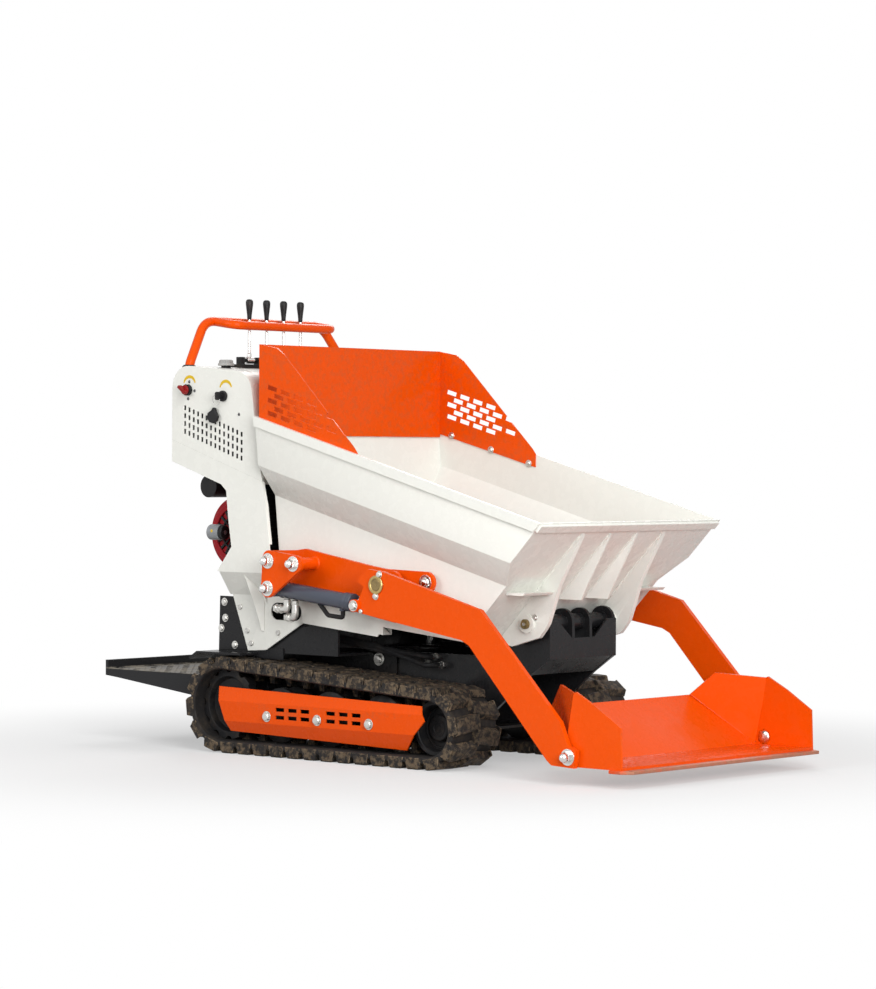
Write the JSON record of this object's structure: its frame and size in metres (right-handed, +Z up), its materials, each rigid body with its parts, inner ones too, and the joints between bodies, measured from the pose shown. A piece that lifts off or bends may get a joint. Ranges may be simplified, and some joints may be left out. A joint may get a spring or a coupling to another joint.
{
  "type": "tracked power carrier",
  "caption": "Stand-on tracked mini dumper with a forward-tipping skip, a self-loading shovel on hydraulic lift arms, a lever console with handlebar and a folding rear platform.",
  "frame": {"origin": "on the ground under the middle of the overall box", "axes": "+X forward to the shovel, +Y to the machine's left, +Z up"},
  "size_m": [2.29, 1.0484, 1.445],
  "materials": {
    "chassis_black": "satin black paint",
    "cream_paint": "gloss cream-white powder coat",
    "orange_paint": "gloss orange paint",
    "track_rubber": "dusty moulded rubber",
    "hose_rubber": "braided hose",
    "zinc_steel": "zinc plated",
    "chrome": "polished",
    "brass": "machined",
    "dark_iron": "painted casting",
    "engine_aluminium": "cast",
    "shroud_red": "gloss red",
    "black_plastic": "moulded",
    "barrel_grey": "slate-grey paint",
    "worn_steel": "worn bare steel",
    "key_red": "gloss red"
  },
  "bodies": {
    "chassis": {"chassis_frame": "chassis_black", "track_frames": "chassis_black", "rubber_track_right": "track_rubber", "rubber_track_left": "track_rubber", "wheel_axles": "zinc_steel", "travel_motors": "dark_iron", "track_covers": "orange_paint", "frame_bolts": "zinc_steel", "column_right": "cream_paint", "column_left": "cream_paint", "console_shell": "cream_paint", "console_panels": "cream_paint", "handlebar": "orange_paint", "control_valve": "dark_iron", "oil_tank": "dark_iron", "filler_cap": "black_plastic", "engine_block": "engine_aluminium", "fan_shroud": "shroud_red", "starter_motor": "engine_aluminium", "muffler": "dark_iron", "air_cleaner": "black_plastic", "fuel_tank": "black_plastic", "hydraulic_pump": "dark_iron", "rear_brackets": "chassis_black", "loader_brackets": "orange_paint", "bracket_bolts": "chrome", "pivot_pins": "zinc_steel", "skip_hinge_pin": "brass", "switch_bodies": "black_plastic", "hydraulic_hoses": "hose_rubber"},
    "drive_sprocket_right": {"drive_sprocket_right": "dark_iron"},
    "idler_wheel_right": {"idler_wheel_right": "dark_iron"},
    "road_wheel_right_1": {"road_wheel_right_1": "dark_iron"},
    "road_wheel_right_2": {"road_wheel_right_2": "dark_iron"},
    "road_wheel_right_3": {"road_wheel_right_3": "dark_iron"},
    "drive_sprocket_left": {"drive_sprocket_left": "dark_iron"},
    "idler_wheel_left": {"idler_wheel_left": "dark_iron"},
    "road_wheel_left_1": {"road_wheel_left_1": "dark_iron"},
    "road_wheel_left_2": {"road_wheel_left_2": "dark_iron"},
    "road_wheel_left_3": {"road_wheel_left_3": "dark_iron"},
    "platform": {"operator_platform": "chassis_black"},
    "skip": {"skip_tub": "cream_paint", "splash_guard": "orange_paint", "guard_bolts": "zinc_steel"},
    "loader": {"loader_arms": "orange_paint", "shovel": "orange_paint", "cutting_edge": "worn_steel", "shovel_bolts": "chrome"},
    "lift_barrel_right": {"lift_barrel_right": "barrel_grey"},
    "lift_rod_right": {"lift_rod_right": "chrome"},
    "lift_barrel_left": {"lift_barrel_left": "barrel_grey"},
    "lift_rod_left": {"lift_rod_left": "chrome"},
    "tip_barrel": {"tip_barrel": "barrel_grey"},
    "tip_rod": {"tip_rod": "chrome"},
    "control_lever_1": {"control_lever_1": "chrome"},
    "control_lever_2": {"control_lever_2": "chrome"},
    "control_lever_3": {"control_lever_3": "chrome"},
    "control_lever_4": {"control_lever_4": "chrome"},
    "isolator_key": {"isolator_key": "key_red"},
    "ignition_key": {"ignition_key": "black_plastic"}
  },
  "joints": [
    {"name": "track_drive_right", "type": "hinge", "parent": "chassis", "child": "drive_sprocket_right", "pos_m": [-0.528, -0.3225, 0.152], "axis": [0, 1, 0], "continuous": true},
    {"name": "idler_spin_right", "type": "hinge", "parent": "chassis", "child": "idler_wheel_right", "pos_m": [0.338, -0.3225, 0.124], "axis": [0, 1, 0], "continuous": true},
    {"name": "road_spin_right_1", "type": "hinge", "parent": "chassis", "child": "road_wheel_right_1", "pos_m": [-0.315, -0.3225, 0.1265], "axis": [0, 1, 0], "continuous": true},
    {"name": "road_spin_right_2", "type": "hinge", "parent": "chassis", "child": "road_wheel_right_2", "pos_m": [-0.101, -0.3225, 0.1265], "axis": [0, 1, 0], "continuous": true},
    {"name": "road_spin_right_3", "type": "hinge", "parent": "chassis", "child": "road_wheel_right_3", "pos_m": [0.113, -0.3225, 0.1265], "axis": [0, 1, 0], "continuous": true},
    {"name": "track_drive_left", "type": "hinge", "parent": "chassis", "child": "drive_sprocket_left", "pos_m": [-0.528, 0.3225, 0.152], "axis": [0, 1, 0], "continuous": true},
    {"name": "idler_spin_left", "type": "hinge", "parent": "chassis", "child": "idler_wheel_left", "pos_m": [0.338, 0.3225, 0.124], "axis": [0, 1, 0], "continuous": true},
    {"name": "road_spin_left_1", "type": "hinge", "parent": "chassis", "child": "road_wheel_left_1", "pos_m": [-0.315, 0.3225, 0.1265], "axis": [0, 1, 0], "continuous": true},
    {"name": "road_spin_left_2", "type": "hinge", "parent": "chassis", "child": "road_wheel_left_2", "pos_m": [-0.101, 0.3225, 0.1265], "axis": [0, 1, 0], "continuous": true},
    {"name": "road_spin_left_3", "type": "hinge", "parent": "chassis", "child": "road_wheel_left_3", "pos_m": [0.113, 0.3225, 0.1265], "axis": [0, 1, 0], "continuous": true},
    {"name": "platform_fold", "type": "hinge", "parent": "chassis", "child": "platform", "pos_m": [-0.7, 0, 0.22], "axis": [0, 1, 0], "range_deg": [0, 75]},
    {"name": "skip_tip", "type": "hinge", "parent": "chassis", "child": "skip", "pos_m": [0.55, 0, 0.438], "axis": [0, 1, 0], "range_deg": [0, 65]},
    {"name": "loader_lift", "type": "hinge", "parent": "chassis", "child": "loader", "pos_m": [0.198, 0, 0.552], "axis": [0, -1, 0], "range_deg": [-2.5, 120]},
    {"name": "lift_swing_right", "type": "hinge", "parent": "chassis", "child": "lift_barrel_right", "pos_m": [-0.254, -0.446, 0.528], "axis": [0, -1, 0], "range_deg": [-0.3, 4.79]},
    {"name": "lift_stroke_right", "type": "slide", "parent": "lift_barrel_right", "child": "lift_rod_right", "axis": [0.9938, 0, -0.111], "range_m": [-0.00479, 0.18277]},
    {"name": "lift_swing_left", "type": "hinge", "parent": "chassis", "child": "lift_barrel_left", "pos_m": [-0.254, 0.446, 0.528], "axis": [0, -1, 0], "range_deg": [-0.3, 4.79]},
    {"name": "lift_stroke_left", "type": "slide", "parent": "lift_barrel_left", "child": "lift_rod_left", "axis": [0.9938, 0, -0.111], "range_m": [-0.00479, 0.18277]},
    {"name": "tip_swing", "type": "hinge", "parent": "chassis", "child": "tip_barrel", "pos_m": [0.07, 0, 0.135], "axis": [0, -1, 0], "range_deg": [-0.2, 21.01]},
    {"name": "tip_stroke", "type": "slide", "parent": "tip_barrel", "child": "tip_rod", "axis": [0.8465, 0, 0.5325], "range_m": [-0.001, 0.15008]},
    {"name": "lever_tilt_1", "type": "hinge", "parent": "chassis", "child": "control_lever_1", "pos_m": [-0.7, -0.12, 1.246], "axis": [0, 1, 0], "range_deg": [-9, 9], "stiffness_Nm_per_rad": 12},
    {"name": "lever_tilt_2", "type": "hinge", "parent": "chassis", "child": "control_lever_2", "pos_m": [-0.7, -0.04, 1.246], "axis": [0, 1, 0], "range_deg": [-9, 9], "stiffness_Nm_per_rad": 12},
    {"name": "lever_tilt_3", "type": "hinge", "parent": "chassis", "child": "control_lever_3", "pos_m": [-0.7, 0.04, 1.246], "axis": [0, 1, 0], "range_deg": [-9, 9], "stiffness_Nm_per_rad": 12},
    {"name": "lever_tilt_4", "type": "hinge", "parent": "chassis", "child": "control_lever_4", "pos_m": [-0.7, 0.12, 1.246], "axis": [0, 1, 0], "range_deg": [-9, 9], "stiffness_Nm_per_rad": 12},
    {"name": "isolator_turn", "type": "hinge", "parent": "chassis", "child": "isolator_key", "pos_m": [-0.696, -0.412, 1.145], "axis": [0, -1, 0], "range_deg": [0, 90]},
    {"name": "ignition_turn", "type": "hinge", "parent": "chassis", "child": "ignition_key", "pos_m": [-0.538, -0.41, 1.124], "axis": [0, -1, 0], "range_deg": [0, 60]}
  ],
  "couplings": [
    {"joint": "idler_spin_right", "follows": "track_drive_right", "ratio": 1.3333},
    {"joint": "road_spin_right_1", "follows": "track_drive_right", "ratio": 1.3023},
    {"joint": "road_spin_right_2", "follows": "track_drive_right", "ratio": 1.3023},
    {"joint": "road_spin_right_3", "follows": "track_drive_right", "ratio": 1.3023},
    {"joint": "idler_spin_left", "follows": "track_drive_left", "ratio": 1.3333},
    {"joint": "road_spin_left_1", "follows": "track_drive_left", "ratio": 1.3023},
    {"joint": "road_spin_left_2", "follows": "track_drive_left", "ratio": 1.3023},
    {"joint": "road_spin_left_3", "follows": "track_drive_left", "ratio": 1.3023},
    {"joint": "lift_swing_right", "follows": "loader_lift", "ratio": 0.038291},
    {"joint": "lift_stroke_right", "follows": "loader_lift", "m_per_rad": 0.086791},
    {"joint": "lift_swing_left", "follows": "loader_lift", "ratio": 0.038291},
    {"joint": "lift_stroke_left", "follows": "loader_lift", "m_per_rad": 0.086791},
    {"joint": "tip_swing", "follows": "skip_tip", "ratio": 0.32012},
    {"joint": "tip_stroke", "follows": "skip_tip", "m_per_rad": 0.13141}
  ]
}
